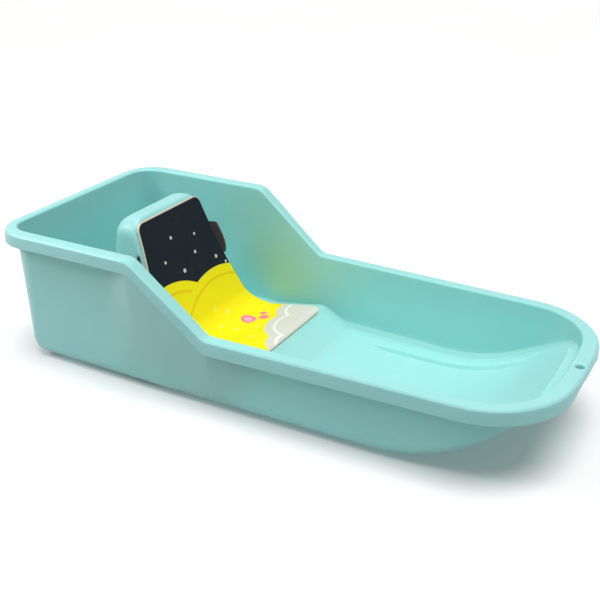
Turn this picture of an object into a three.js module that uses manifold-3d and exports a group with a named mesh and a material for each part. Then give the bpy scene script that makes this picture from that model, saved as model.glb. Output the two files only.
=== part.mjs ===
// Baby pull sled: a moulded tub with a raised seat and a hollow backrest, a bonded foam pad and a webbing belt.
// Millimetres. +X points to the bow, +Y to the rider's left and +Z up; the runners stand on z = 0.
import * as THREE from 'three';
import { mergeVertices } from 'three/addons/utils/BufferGeometryUtils.js';
import Module from 'manifold-3d';

// Tub: plan sizes
const length = 846;
const rearHalfWidth = 187.5;
const waistHalfWidth = 180.5;
const bowHalfWidth = 171;
const rearCornerRadius = 55;
const bowCornerRadius = 120;
const bowFrontRadius = 900;

// Tub: heights above the flat of the bottom, and where the rim steps down
const rearRimRise = 203.5;
const highRimRise = 207;
const lowRimRise = 113.7;
const bowRimRise = 117.5;
const slopeTopX = -170;
const slopeFootX = -54.5;
const slopeTopRadius = 28;
const slopeFootRadius = 18;

// Tub: walls, rim and skirt
const wall = 3;
const rimWidth = 23;
const rearRimWidth = 17.5;
const lowRimWidth = 20;
const bowRimWidth = 25;
const skirtDrop = 20;
const lowSkirtDrop = 22.5;
const bowSkirtDrop = 11.5;
const bowSkirtHalf = 30;
const bowSkirtRamp = 50;
const skirtFlare = 0.8;
const skirtLipRadius = 1.1;
const rimInnerRadius = 4;
const rimOuterRadius = 6;
const floorFillet = 16;
const rearFloorFillet = 30;
const sideDraft = 0.024;
const rearDraft = 0.08;
const flushSkirt = 1;
const flushGroove = 0.6;
const swellRampRear = 62;
const swellRampFront = 95;

// Bow: the flat bottom turns up on one arc and runs on straight to the rim
const bowBendRadius = 250;
const bowBendSetBack = 246;
const bowAngle = THREE.MathUtils.degToRad(40);

// Runner beads pressed into the bottom
const runnerDepth = 5;
const runnerWidth = 25;
const runnerTipWidth = 15;
const runnerSpacing = 220;
const runnerRearSetBack = 58;
const runnerBowSetBack = 67;
const runnerTaper = 30;
const runnerEndLift = 0.8;
const seatRib = 3;
const seatRibSetBack = 1.2;

// Seat and backrest surface: straight lean, bend, rising seat, crest, slope down to the floor
const reclineAngle = THREE.MathUtils.degToRad(20.3);
const seatAngle = THREE.MathUtils.degToRad(10.8);
const frontSlopeAngle = THREE.MathUtils.degToRad(26.2);
const seatCornerX = -162;
const seatCornerRise = 6.9;
const seatBendRadius = 50;
const crestX = -42;
const crestRadius = 30;
const slopeEndRadius = 24;
const toeAngle = THREE.MathUtils.degToRad(8);
const toeRise = 1.2;
const platformRearX = -298;

// Backrest hump
const backrestRise = 216;
const backrestRearX = -276.5;
const backrestFrontCorner = 7;
const backrestRearCorner = 18;
const backrestShoulder = 26;
const backrestFrontEdge = 5;
const backrestRearEdge = 23;
const backrestFlareWidth = 20;
const backrestFlareHeight = 36;
const backrestRearFlare = 12;
const flareShare = 0.95;
const cornerShare = 0.9;

// Rope hole in the front rim
const ropeHoleSetBack = 12;
const ropeBore = 12;
const ropeMouth = 18;
const ropeMouthDepth = 3;
const ropeBossDiameter = 22;
const ropeBossDepth = 9;

// Seat pad
const padTopRise = 210.5;
const padFrontX = -38;
const padTopHalf = 78;
const padKneeHalf = 117.5;
const padFrontHalf = 140;
const padCurveShare = 0.41;
const padFlareShare = 0.45;
const padTopCorner = 12;
const padFrontCorner = 17;
const padEdgeMargin = 4;
const foamThickness = 4.3;
const foamEdgeRadius = 0.9;
const coverThickness = 0.7;
const coverMargin = 0.8;
const seatingGap = 0.3;

// Belt webbing
const webbingWidth = 49;
const webbingThickness = 1.6;
const webbingRise = 140.5;
const webbingDrop = 8;
const webbingStandOff = 1.6;
const bulgeReach = 27;
const bulgeLean = 19;
const bulgeLowShare = 0.8;
const bulgeRadius = 4;
const slotTurnRadius = 5;
const slotSetBack = 6;
const slotWidth = 5;
const slotMargin = 1.5;
const turnRadius = 1.3;

// Side-release buckle behind the backrest
const buckleWidth = 62;
const buckleThickness = 10;
const buckleCorner = 5;
const socketLength = 47;
const plugLength = 26;
const barLength = 5;
const barThickness = 3.6;
const barSlotLength = 6.5;
const barSlotMargin = 1.2;
const socketSkin = 2;
const socketDepth = 33;
const socketMouth = 51;
const windowStart = 13;
const windowLength = 16;
const tongueLength = 28;
const tongueWidth = 8;
const prongRoot = 17;
const prongArm = 4.6;
const prongLength = 30.5;
const prongReach = 29.2;
const prongPlay = 0.5;

// Keeper on the belt tail
const keeperLength = 8;
const keeperSkin = 1;
const keeperY = -48;
const tailEndY = -71;
const sewnEndY = 71;

// Cutters run this far past what they cut
const overrun = 4;

// Smoothness of curved stretches
const cornerSteps = 8;
const bowCornerSteps = 9;
const bowFrontSteps = 5;
const filletSteps = 3;
const bendSteps = 10;

// Derived sizes
const halfLength = length / 2;
const bowBendStartX = halfLength - bowBendSetBack;
const runnerRearX = runnerRearSetBack - halfLength;
const runnerBowX = halfLength - runnerBowSetBack;
const ropeHoleX = halfLength - ropeHoleSetBack;
const bowCentreX = halfLength - bowFrontRadius;
const bowReach = bowFrontRadius - bowCornerRadius;
const bowCornerY = bowHalfWidth - bowCornerRadius;
const bowJoinAngle = Math.asin(bowCornerY / bowReach);
const bowCornerX = bowCentreX + bowReach * Math.cos(bowJoinAngle);
const bowBendX = bowBendStartX + bowBendRadius * Math.tan(bowAngle / 2);
const runnerY = runnerSpacing / 2;
const padTotal = seatingGap + foamThickness;

const wasm = await Module();
wasm.setup();

// Small helpers

function mix(a, b, t) {
  return a + (b - a) * t;
}

function smooth(t) {
  const c = Math.min(1, Math.max(0, t));
  return c * c * (3 - 2 * c);
}

function spread(from, to, steps) {
  return Array.from({ length: steps }, (_, i) => mix(from, to, (i + 1) / steps));
}

// A path of straight runs with a round at each inner corner. corners: [x, y, radius]; every round has the same steps.
function roundedPath(corners, steps) {
  const out = [corners[0].slice(0, 2)];
  for (let i = 1; i < corners.length - 1; i += 1) {
    const at = new THREE.Vector2(corners[i][0], corners[i][1]);
    const back = new THREE.Vector2(corners[i - 1][0], corners[i - 1][1]).sub(at).normalize();
    const ahead = new THREE.Vector2(corners[i + 1][0], corners[i + 1][1]).sub(at).normalize();
    const half = Math.acos(THREE.MathUtils.clamp(back.dot(ahead), -1, 1)) / 2;
    const reach = corners[i][2] / Math.tan(half);
    const centre = back.clone().add(ahead).normalize().multiplyScalar(corners[i][2] / Math.sin(half)).add(at);
    const first = back.clone().multiplyScalar(reach).add(at).sub(centre);
    const last = ahead.clone().multiplyScalar(reach).add(at).sub(centre);
    const turn = Math.atan2(first.cross(last), first.dot(last));
    for (let k = 0; k <= steps; k += 1) {
      const p = first.clone().rotateAround(new THREE.Vector2(), (turn * k) / steps).add(centre);
      out.push([p.x, p.y]);
    }
  }
  out.push(corners[corners.length - 1].slice(0, 2));
  return out;
}

// The same path moved sideways: shift is to the left of the way the path runs, so rounds stay concentric.
function shiftCorners(corners, shift) {
  const directions = corners.slice(1).map((c, i) => new THREE.Vector2(c[0] - corners[i][0], c[1] - corners[i][1]));
  directions.forEach((d) => d.normalize());
  return corners.map((c, i) => {
    const before = directions[Math.max(0, i - 1)];
    const after = directions[Math.min(directions.length - 1, i)];
    const normal = new THREE.Vector2(-before.y - after.y, before.x + after.x).normalize();
    const stretch = shift / normal.dot(new THREE.Vector2(-after.y, after.x));
    const turn = Math.sign(before.cross(after));
    return [c[0] + normal.x * stretch, c[1] + normal.y * stretch, Math.max(0, (c[2] ?? 0) - turn * shift)];
  });
}

// Height of a path at x, where x only grows along the path.
function heightAt(path, x) {
  const i = Math.max(1, path.findIndex((p) => p[0] >= x));
  const [a, b] = x >= path[path.length - 1][0] ? path.slice(-2) : [path[i - 1], path[i]];
  return mix(a[1], b[1], (x - a[0]) / (b[0] - a[0]));
}

// Point and direction at a distance along a path.
function walk(path, distance) {
  let left = distance;
  for (let i = 1; i < path.length; i += 1) {
    const step = new THREE.Vector2(path[i][0] - path[i - 1][0], path[i][1] - path[i - 1][1]);
    const run = step.length();
    if (left <= run || i === path.length - 1) {
      step.normalize();
      return { x: path[i - 1][0] + step.x * left, z: path[i - 1][1] + step.y * left, dx: step.x, dz: step.y };
    }
    left -= run;
  }
  return null;
}

function pathLength(path) {
  return path.slice(1).reduce((sum, p, i) => sum + Math.hypot(p[0] - path[i][0], p[1] - path[i][1]), 0);
}

// Closed skin over equal rings of points: sides between rings, and a fan or a given list of triangles at both ends.
function ringSolid(rings, capTriangles) {
  const count = rings[0].length;
  const positions = rings.flat(2);
  const index = [];
  const at = (r, k) => r * count + (k % count);
  for (let r = 0; r + 1 < rings.length; r += 1) {
    for (let k = 0; k < count; k += 1) {
      index.push(at(r, k), at(r, k + 1), at(r + 1, k + 1), at(r, k), at(r + 1, k + 1), at(r + 1, k));
    }
  }
  const last = rings.length - 1;
  const caps = capTriangles ?? spread(1, count - 1, count - 2).map((k) => [0, Math.round(k) - 1, Math.round(k)]);
  caps.forEach(([a, b, c]) => index.push(at(0, a), at(0, c), at(0, b)));
  caps.forEach(([a, b, c]) => index.push(at(last, a), at(last, b), at(last, c)));
  const geometry = new THREE.BufferGeometry();
  geometry.setAttribute('position', new THREE.Float32BufferAttribute(positions, 3));
  geometry.setIndex(index);
  return geometry;
}

function toSolid(geometry) {
  const bare = geometry.clone();
  bare.deleteAttribute('normal');
  bare.deleteAttribute('uv');
  const merged = mergeVertices(bare, 1e-4);
  const solid = new wasm.Manifold(new wasm.Mesh({
    numProp: 3,
    vertProperties: Float32Array.from(merged.attributes.position.array),
    triVerts: Uint32Array.from(merged.index.array),
  }));
  return solid.volume() < 0 ? toSolid(flip(merged)) : solid;
}

function flip(geometry) {
  const index = geometry.index.array;
  for (let i = 0; i < index.length; i += 3) {
    [index[i + 1], index[i + 2]] = [index[i + 2], index[i + 1]];
  }
  return geometry;
}

function toGeometry(solid) {
  const mesh = solid.getMesh();
  const positions = new Float32Array((mesh.vertProperties.length / mesh.numProp) * 3);
  for (let i = 0; i < positions.length / 3; i += 1) {
    positions.set(mesh.vertProperties.subarray(i * mesh.numProp, i * mesh.numProp + 3), i * 3);
  }
  const geometry = new THREE.BufferGeometry();
  geometry.setAttribute('position', new THREE.BufferAttribute(positions, 3));
  geometry.setIndex(new THREE.BufferAttribute(Uint32Array.from(mesh.triVerts), 1));
  return geometry;
}

function union(solids) {
  return solids.reduce((sum, solid) => sum.add(solid));
}

// A slab with its outline in the X-Z plane, as wide as given to each side of y = 0.
function sideSlab(points, halfWidth) {
  const shape = new THREE.Shape(points.map((p) => new THREE.Vector2(p[0], p[1])));
  const slab = new THREE.ExtrudeGeometry(shape, { depth: 2 * halfWidth, bevelEnabled: false });
  slab.rotateX(Math.PI / 2);
  slab.translate(0, halfWidth, 0);
  return toSolid(slab);
}

function boxBetween(low, high) {
  const box = new THREE.BoxGeometry(high[0] - low[0], high[1] - low[1], high[2] - low[2]);
  box.translate((low[0] + high[0]) / 2, (low[1] + high[1]) / 2, (low[2] + high[2]) / 2);
  return toSolid(box);
}

// Tub surfaces

const rimPath = roundedPath([
  [-halfLength - overrun, rearRimRise],
  [slopeTopX, highRimRise, slopeTopRadius],
  [slopeFootX, lowRimRise, slopeFootRadius],
  [halfLength + overrun, bowRimRise],
], cornerSteps);

const bottomCorners = [
  [-halfLength - overrun, 0],
  [bowBendX, 0, bowBendRadius],
  [halfLength + overrun, (halfLength + overrun - bowBendX) * Math.tan(bowAngle)],
];
const bottomPath = roundedPath(bottomCorners, 4 * cornerSteps);
const floorPath = roundedPath(shiftCorners(bottomCorners, wall), 4 * cornerSteps);

function sideHalfWidth(x) {
  const towardsBow = Math.max(0, (x - slopeFootX) / (bowCornerX - slopeFootX));
  const front = mix(waistHalfWidth, bowHalfWidth, towardsBow);
  return mix(rearHalfWidth, front, lowShare(x));
}

// 0 along the high rear part of the rim and 1 along the low front part.
function lowShare(x) {
  return smooth((x - slopeTopX) / (slopeFootX - slopeTopX));
}

function sideRimWidth(x) {
  return mix(rimWidth, lowRimWidth, lowShare(x));
}

// The skirt is shallow across the middle of the bow, round the rope hole.
function skirtDropAt(x, y) {
  const side = mix(skirtDrop, lowSkirtDrop, lowShare(x));
  const acrossBow = x > bowCornerX ? smooth((bowSkirtHalf + bowSkirtRamp - Math.abs(y)) / bowSkirtRamp) : 0;
  return mix(side, bowSkirtDrop, acrossBow);
}

// Between the two kinks of the rim the outer wall swells until it is flush with the skirt.
function swell(x) {
  const rising = smooth((x - slopeTopX + swellRampRear) / swellRampRear);
  const falling = smooth((slopeFootX + swellRampFront - x) / swellRampFront);
  return Math.min(rising, falling);
}

// Half of the rim's outline, from the rear corner to the middle of the bow, with the inward normals.
function rimStations() {
  const stations = [];
  const onArc = (cx, cy, radius, angle) => stations.push({
    x: cx + radius * Math.cos(angle), y: cy + radius * Math.sin(angle), nx: -Math.cos(angle), ny: -Math.sin(angle),
  });
  const rearX = rearCornerRadius - halfLength;
  onArc(rearX, rearHalfWidth - rearCornerRadius, rearCornerRadius, Math.PI);
  spread(Math.PI, Math.PI / 2, cornerSteps).forEach((a) => {
    onArc(rearX, rearHalfWidth - rearCornerRadius, rearCornerRadius, a);
  });
  const roundStart = rimPath[1][0];
  const roundEnd = rimPath[1 + cornerSteps][0];
  const footStart = rimPath[2 + cornerSteps][0];
  const footEnd = rimPath[2 + 2 * cornerSteps][0];
  const sides = [
    ...spread(rearX, slopeTopX - swellRampRear, 2),
    ...spread(slopeTopX - swellRampRear, roundStart, 2),
    ...spread(roundStart, roundEnd, 5),
    ...spread(roundEnd, footStart, 4),
    ...spread(footStart, footEnd, 3),
    ...spread(footEnd, slopeFootX + swellRampFront, 4),
    ...spread(slopeFootX + swellRampFront, bowBendStartX, 2),
    ...spread(bowBendStartX, bowCornerX, 7),
  ];
  sides.slice(0, -1).forEach((x) => stations.push({ x, y: sideHalfWidth(x), nx: 0, ny: -1 }));
  onArc(bowCornerX, bowCornerY, bowCornerRadius, Math.PI / 2);
  spread(Math.PI / 2, bowJoinAngle, bowCornerSteps).forEach((a) => onArc(bowCornerX, bowCornerY, bowCornerRadius, a));
  spread(bowJoinAngle, 0, bowFrontSteps).forEach((a) => onArc(bowCentreX, 0, bowFrontRadius, a));
  return stations;
}

// Cross-section of the shell at one station, as [inset from the skirt, height] from the floor, over the rim, to the
// bottom; rear is 1 for the rear wall and 0 elsewhere. The wall is one thickness, apart from the swelling.
function shellSection(station, rear) {
  const bow = station.nx < 0 ? station.nx ** 6 : 0;
  const width = mix(mix(sideRimWidth(station.x), rearRimWidth, rear), bowRimWidth, bow);
  const draft = mix(sideDraft, rearDraft, rear);
  const inner = mix(floorFillet, rearFloorFillet, rear);
  const outer = inner + wall;
  const top = heightAt(rimPath, station.x);
  const settle = (path, ceiling, face, radius) => {
    let inset = face + radius;
    let drop = 0;
    for (let k = 0; k < 8; k += 1) {
      drop = ceiling - heightAt(path, station.x + station.nx * inset);
      inset = face + draft * Math.max(0, drop - radius) + radius;
    }
    return { inset, drop, floor: ceiling - drop };
  };
  const inside = settle(floorPath, top, width, inner);
  const outside = settle(bottomPath, top - wall, width - wall, outer);
  const innerRise = Math.min(inner, 0.45 * inside.drop);
  const outerRise = Math.min(outer, 0.8 * outside.drop);
  const rimRound = Math.min(rimInnerRadius, 0.4 * inside.drop);
  const flush = swell(station.x);
  const skirtFoot = top - skirtDropAt(station.x, station.y);
  const skirt = mix(wall, flushSkirt, flush);
  const lip = skirtLipRadius * (skirt / wall);
  const grooveTop = mix(top - wall, skirtFoot + lip + flushGroove, flush);
  const wallTop = mix(width - wall, skirt + flushGroove, flush);
  const wallFoot = outside.inset - outer;
  const footRise = outside.floor + outerRise;
  const arc = (from, to, point) => [0, ...spread(0, 1, filletSteps)].map((t) => point(mix(from, to, t)));
  return [
    ...arc(0, Math.PI / 2, (a) => [
      inside.inset - inner * Math.sin(a), inside.floor + innerRise * (1 - Math.cos(a)),
    ]),
    ...arc(0, Math.PI / 2, (a) => [width - rimRound * (1 - Math.cos(a)), top - rimRound * (1 - Math.sin(a))]),
    ...arc(0, Math.PI / 2, (a) => [
      skirtFlare + rimOuterRadius * (1 - Math.sin(a)), top - rimOuterRadius * (1 - Math.cos(a)),
    ]),
    [0, skirtFoot + lip],
    [lip, skirtFoot],
    [skirt - lip, skirtFoot],
    [skirt, skirtFoot + lip],
    [skirt + 0.02 * lip, grooveTop],
    [wallTop, grooveTop],
    ...[1 / 3, 2 / 3].map((t) => [mix(wallTop, wallFoot, t), mix(grooveTop, footRise, t)]),
    ...arc(0, Math.PI / 2, (a) => [
      wallFoot + outer * (1 - Math.cos(a)), footRise - outerRise * Math.sin(a),
    ]),
  ];
}

// Triangles that close a ring whose two halves mirror each other, as a ladder from side to side.
function ladder(count) {
  const far = (i) => (2 * (count - 1) - i) % (2 * count - 1);
  const triangles = [];
  for (let i = 0; i + 2 < count; i += 1) {
    triangles.push([i, i + 1, far(i + 1)], [i, far(i + 1), far(i)]);
  }
  triangles.push([count - 2, count - 1, far(count - 2)]);
  return triangles;
}

// Round the rear corners the rear wall's section sets the way in along X, and the side wall's the way in along Y.
function tubShell() {
  const half = rimStations();
  const lines = half.map((s) => {
    const along = shellSection(s, s.nx > 0 ? 1 : 0);
    return shellSection(s, 0).map(([inset, z], k) => [
      s.x + s.nx * along[k][0], s.y + s.ny * inset, mix(z, along[k][1], s.nx ** 2),
    ]);
  });
  const rings = lines[0].map((_, k) => [
    ...lines.map((line) => line[k]),
    ...lines.slice(0, -1).map((line) => [line[k][0], -line[k][1], line[k][2]]).reverse(),
  ]);
  return toSolid(ringSolid(rings, ladder(half.length)));
}

// Seat and backrest surface, seen from the side

const crestRise = seatCornerRise + (crestX - seatCornerX) * Math.tan(seatAngle);
const seatFootX = crestX + (crestRise - wall - toeRise) / Math.tan(frontSlopeAngle);
const seatToeX = seatFootX + (toeRise + wall / 2) / Math.tan(toeAngle);
const seatCorners = [
  [seatCornerX - (backrestRise - seatCornerRise) * Math.tan(reclineAngle), backrestRise],
  [seatCornerX, seatCornerRise, seatBendRadius],
  [crestX, crestRise, crestRadius],
  [seatFootX, wall + toeRise, slopeEndRadius],
  [seatToeX, wall / 2],
];
const bendOpening = (Math.PI / 2 + reclineAngle - seatAngle) / 2;
const bendReach = seatBendRadius / Math.sin(bendOpening);
const seatLowX = seatCornerX + bendReach * Math.cos(seatAngle + bendOpening);
const bendCentreRise = seatCornerRise + bendReach * Math.sin(seatAngle + bendOpening);
const seatLowRise = bendCentreRise - seatBendRadius;
const kneeAngle = Math.PI / 2 - reclineAngle;
const bendAngles = [...spread(kneeAngle, -seatAngle, bendSteps).filter((a) => a > 0).reverse(), kneeAngle];

// The backrest's front face at a height, moved forwards by grow.
function backrestFrontX(z, grow = 0) {
  const radius = seatBendRadius - grow;
  if (z >= bendCentreRise - radius * Math.cos(kneeAngle)) {
    return seatCornerX - (z - seatCornerRise) * Math.tan(reclineAngle) + grow / Math.cos(reclineAngle);
  }
  const down = Math.min(radius, bendCentreRise - z);
  return seatLowX - Math.sqrt(radius ** 2 - down ** 2);
}

function backLength() {
  return (padTopRise - bendCentreRise + seatBendRadius * Math.cos(kneeAngle)) / Math.cos(reclineAngle);
}

// Half-width of the pad at a share of its straight back: 0 at the top, 1 where the bend starts.
function backHalf(share) {
  return mix(padTopHalf, padKneeHalf, padCurveShare * share + (1 - padCurveShare) * share ** 2);
}

function roundIn(z, top, radius) {
  const over = Math.max(0, z - (top - radius));
  return radius - Math.sqrt(Math.max(0, radius ** 2 - over ** 2));
}

function backrestHalf(z, grow = 0) {
  const share = (padTopRise - z) / Math.cos(reclineAngle) / backLength();
  const under = Math.min(flareShare, Math.max(0, (seatLowRise + backrestFlareHeight - z) / backrestFlareHeight));
  const flare = backrestFlareWidth * (1 - Math.sqrt(1 - under ** 2));
  const shoulder = roundIn(z, backrestRise, backrestShoulder);
  return backHalf(Math.max(0, share)) + padEdgeMargin + flare - shoulder + grow;
}

// Level outline of the backrest, counter-clockwise, with two corner radii.
function backrestOutline(z, grow) {
  const skinTop = backrestRise + grow;
  const level = Math.min(z, skinTop);
  const under = Math.min(flareShare, Math.max(0, (seatLowRise + backrestRearFlare - z) / backrestRearFlare));
  const lowest = bendCentreRise - (seatBendRadius - grow) * Math.cos(bendAngles[0]);
  const front = backrestFrontX(Math.max(level, lowest), grow)
    - roundIn(level, skinTop, backrestFrontEdge);
  const rear = backrestRearX - grow - backrestRearFlare * (1 - Math.sqrt(1 - under ** 2))
    + roundIn(level, skinTop, backrestRearEdge);
  const half = backrestHalf(Math.max(level - grow, seatLowRise), grow);
  const corner = (cx, cy, radius, from) => [0, 1, 2, 3, 4, 5].map((k) => {
    const a = from + (k / 5) * (Math.PI / 2);
    return [cx + radius * Math.cos(a), cy + radius * Math.sin(a), level];
  });
  const fit = Math.min(1, (cornerShare * (front - rear)) / (backrestFrontCorner + backrestRearCorner));
  const tight = fit * backrestFrontCorner + Math.min(0, fit * grow);
  const wide = fit * backrestRearCorner + Math.min(0, fit * grow);
  return [
    ...corner(front - tight, half - tight, tight, 0),
    ...corner(rear + wide, half - wide, wide, Math.PI / 2),
    ...corner(rear + wide, wide - half, wide, Math.PI),
    ...corner(front - tight, tight - half, tight, 1.5 * Math.PI),
  ];
}

function backrestForm(grow, foot) {
  const skinTop = backrestRise + grow;
  const radius = seatBendRadius - grow;
  const flares = bendAngles.map((a) => bendCentreRise - radius * Math.cos(a));
  const shoulders = [0, 0.3, 0.55, 0.75, 0.88, 0.96, 1].map((t) => skinTop - backrestShoulder * (1 - t));
  const straights = spread(flares[flares.length - 1], skinTop - backrestShoulder, 4).slice(0, -1);
  const levels = [foot, ...flares, ...straights, ...shoulders];
  return toSolid(ringSolid(levels.map((z) => backrestOutline(z, grow))));
}

// Seat platform across the tub.
function platformForm(grow, foot) {
  const path = roundedPath(shiftCorners(seatCorners, grow), bendSteps);
  const top = path.filter((p) => p[0] >= seatLowX);
  const rearX = platformRearX - grow;
  const outline = [[rearX, foot], [top[top.length - 1][0], foot], ...top.reverse(), [rearX, seatLowRise + grow]];
  return sideSlab(outline, rearHalfWidth);
}

// The space between the tub's side walls as a long solid, grown sideways and round the floor's corners.
function tubHollow(grow) {
  const section = (x) => {
    const lean = (z) => sideHalfWidth(x) - sideRimWidth(x) - sideDraft * (heightAt(rimPath, x) - z);
    const centreRise = wall + floorFillet;
    const centreY = lean(centreRise) - floorFillet;
    const radius = floorFillet + grow;
    const half = [
      [centreY, -overrun],
      ...[0, 1, 2, 3, 4].map((k) => {
        const a = (k / 4) * (Math.PI / 2);
        return [centreY + radius * Math.sin(a), centreRise - radius * Math.cos(a)];
      }),
      [lean(backrestRise) + grow, backrestRise + overrun],
    ];
    return [...half.map(([y, z]) => [x, y, z]), ...[...half].reverse().map(([y, z]) => [x, -y, z])];
  };
  const ends = [platformRearX - overrun, seatToeX + overrun];
  const stations = [ends[0], slopeTopX, ...spread(slopeTopX, slopeFootX, 4), ends[1]];
  return toSolid(ringSolid(stations.map(section)));
}

// Runner bead or groove: a tapered bar along the bottom, from its top face down to its tip, both measured upwards from
// the bottom. Its ends rise to endRise.
function beadForm(y, width, tipWidth, topRise, endRise, tipRise, rearX, frontX) {
  const taper = (x) => smooth((x - rearX) / runnerTaper) * smooth((frontX - x) / runnerTaper);
  const bend = frontX > bowBendStartX ? [bowBendStartX, ...spread(bowBendStartX, frontX - runnerTaper, 7)] : [];
  const flatEnd = frontX > bowBendStartX ? [] : [frontX - runnerTaper];
  const stations = [
    rearX, ...spread(rearX, rearX + runnerTaper, 4), ...bend, ...flatEnd,
    ...spread(frontX - runnerTaper, frontX, 4),
  ];
  const rings = stations.map((x) => {
    const bottom = heightAt(bottomPath, x);
    const tip = bottom + mix(endRise, tipRise, taper(x));
    return [
      [x, y - width / 2, bottom + topRise], [x, y - tipWidth / 2, tip],
      [x, y + tipWidth / 2, tip], [x, y + width / 2, bottom + topRise],
    ];
  });
  return toSolid(ringSolid(rings));
}

function hull() {
  const outerForms = backrestForm(0, wall / 2).add(platformForm(0, wall / 2)).intersect(tubHollow(wall / 2));
  const middleForms = backrestForm(-wall / 2, -overrun).add(platformForm(-wall / 2, -overrun));
  const innerForms = backrestForm(-wall, -overrun).add(platformForm(-wall, -overrun)).intersect(tubHollow(0));
  let solid = tubShell().add(outerForms).subtract(innerForms);
  [-runnerY, runnerY].forEach((y) => {
    const rib = boxBetween(
      [platformRearX + wall / 2, y - seatRib / 2, seatRibSetBack],
      [seatToeX, y + seatRib / 2, backrestRise],
    );
    solid = solid.add(rib.intersect(middleForms));
    [[runnerRearX, platformRearX - wall], [seatToeX, runnerBowX]].forEach(([rearX, frontX]) => {
      solid = solid.add(beadForm(
        y, runnerWidth, runnerTipWidth, wall / 2, runnerEndLift, -runnerDepth, rearX, frontX,
      ));
    });
    solid = solid.subtract(beadForm(
      y, runnerWidth - wall, runnerTipWidth - wall, 2 * wall, wall + runnerEndLift, wall - runnerDepth,
      seatToeX + runnerTaper, runnerBowX - runnerTaper / 2,
    ));
  });
  return solid.add(ropeBoss()).subtract(ropeHole()).subtract(beltSlots());
}

function lathe(profile) {
  const turned = new THREE.LatheGeometry(profile.map(([r, z]) => new THREE.Vector2(r, z)), 3 * cornerSteps);
  turned.rotateX(Math.PI / 2);
  turned.translate(ropeHoleX, 0, heightAt(rimPath, ropeHoleX));
  return toSolid(turned);
}

function ropeBoss() {
  const radius = ropeBossDiameter / 2;
  return lathe([[0, -ropeBossDepth], [radius - wall / 3, -ropeBossDepth], [radius, -wall / 2], [0, -wall / 2]]);
}

function ropeHole() {
  const bore = ropeBore / 2;
  const mouth = ropeMouth / 2;
  const flare = [0, 1, 2, 3, 4].map((k) => {
    const a = (k / 4) * (Math.PI / 2);
    return [mouth - (mouth - bore) * Math.sin(a), -ropeMouthDepth * (1 - Math.cos(a))];
  });
  return lathe([
    [0, -ropeBossDepth - overrun], [bore, -ropeBossDepth - overrun], ...[...flare].reverse(),
    [mouth, overrun], [0, overrun],
  ]);
}

// The belt leaves the hollow backrest through an upright slot in each side, close behind the front face.
function beltSlots() {
  const low = webbingRise - webbingWidth / 2 - slotMargin;
  const high = webbingRise + webbingWidth / 2 + slotMargin;
  const at = (z, side) => [backrestFrontX(z) - slotSetBack + (side * slotWidth) / 2, z];
  return sideSlab([at(low, -1), at(low, 1), at(high, 1), at(high, -1)], padFrontHalf);
}

// Seat pad

function padHalf(distance, total) {
  const back = backLength();
  if (distance <= back) {
    return backHalf(distance / back);
  }
  const share = (distance - back) / (total - back);
  const ease = Math.sin((Math.PI / 2) * Math.min(1, share / padFlareShare));
  return mix(padKneeHalf, padFrontHalf, ease);
}

// A sheet that follows the seat surface: lift is its underside above the plastic, margin how far its edge is drawn in.
function seatSheet(lift, thickness, margin, edge) {
  const path = roundedPath(shiftCorners(seatCorners, lift), bendSteps);
  const tops = path.filter((p) => p[0] < padFrontX);
  const start = [backrestFrontX(padTopRise, lift), padTopRise];
  const line = [start, ...tops.slice(1), [padFrontX, heightAt(path, padFrontX)]];
  const total = pathLength(line);
  const cornerShares = [0, 0.07, 0.22, 0.45, 0.72, 1];
  const vertices = line.map((_, i) => pathLength(line.slice(0, i + 1)));
  const cornersEnd = margin + padTopCorner;
  const frontStart = total - margin - padFrontCorner;
  const bendEnd = vertices[bendSteps + 1];
  const bends = vertices.filter((d) => d > cornersEnd + foamThickness && d < frontStart - foamThickness);
  const rows = [
    ...cornerShares.map((t) => margin + t * padTopCorner),
    ...spread(cornersEnd, vertices[1], 7).slice(0, -1),
    ...bends,
    ...spread(bendEnd, frontStart, 4),
    ...[...cornerShares].reverse().slice(1).map((t) => total - margin - t * padFrontCorner),
  ].sort((a, b) => a - b);
  const cornerCut = (s) => {
    const top = Math.max(0, padTopCorner - (s - margin));
    const front = Math.max(0, padFrontCorner - (total - margin - s));
    return (padTopCorner - Math.sqrt(Math.max(0, padTopCorner ** 2 - top ** 2)))
      + (padFrontCorner - Math.sqrt(Math.max(0, padFrontCorner ** 2 - front ** 2)));
  };
  const rings = rows.map((s, i) => {
    const p = walk(line, s);
    const half = padHalf(s, total) - margin - cornerCut(s);
    const atEnd = i === 0 || i === rows.length - 1;
    const rise = (h) => [p.x - p.dz * h, p.z + p.dx * h];
    const corner = (y, h) => [rise(h)[0], y, rise(h)[1]];
    const full = atEnd ? thickness - edge : thickness;
    return [
      corner(-half, 0), corner(-half / 2, 0), corner(0, 0), corner(half / 2, 0), corner(half, 0),
      corner(half, thickness - edge - (atEnd ? edge / 2 : 0)), corner(half - edge, full),
      corner(half / 2, full), corner(0, full), corner(-half / 2, full), corner(edge - half, full),
      corner(-half, thickness - edge - (atEnd ? edge / 2 : 0)),
    ];
  });
  return toGeometry(toSolid(ringSolid(rings)));
}

// Belt webbing, seen from above: [x, y, radius] at one height, from the sewn end to the tail's end

const buckleRise = webbingRise - webbingDrop;
const runX = backrestRearX - webbingStandOff - webbingThickness / 2;
const barInnerX = runX - webbingThickness / 2 - seatingGap - 0.2 * webbingThickness;
const barOuterX = barInnerX - barThickness;
const overX = barOuterX - webbingThickness / 2 - seatingGap - 0.2 * webbingThickness;
const layerX = runX - webbingThickness - seatingGap;
const socketSlotY = socketLength - barLength - barSlotLength / 2;
const plugSlotY = -(plugLength - barLength - barSlotLength / 2);

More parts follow.
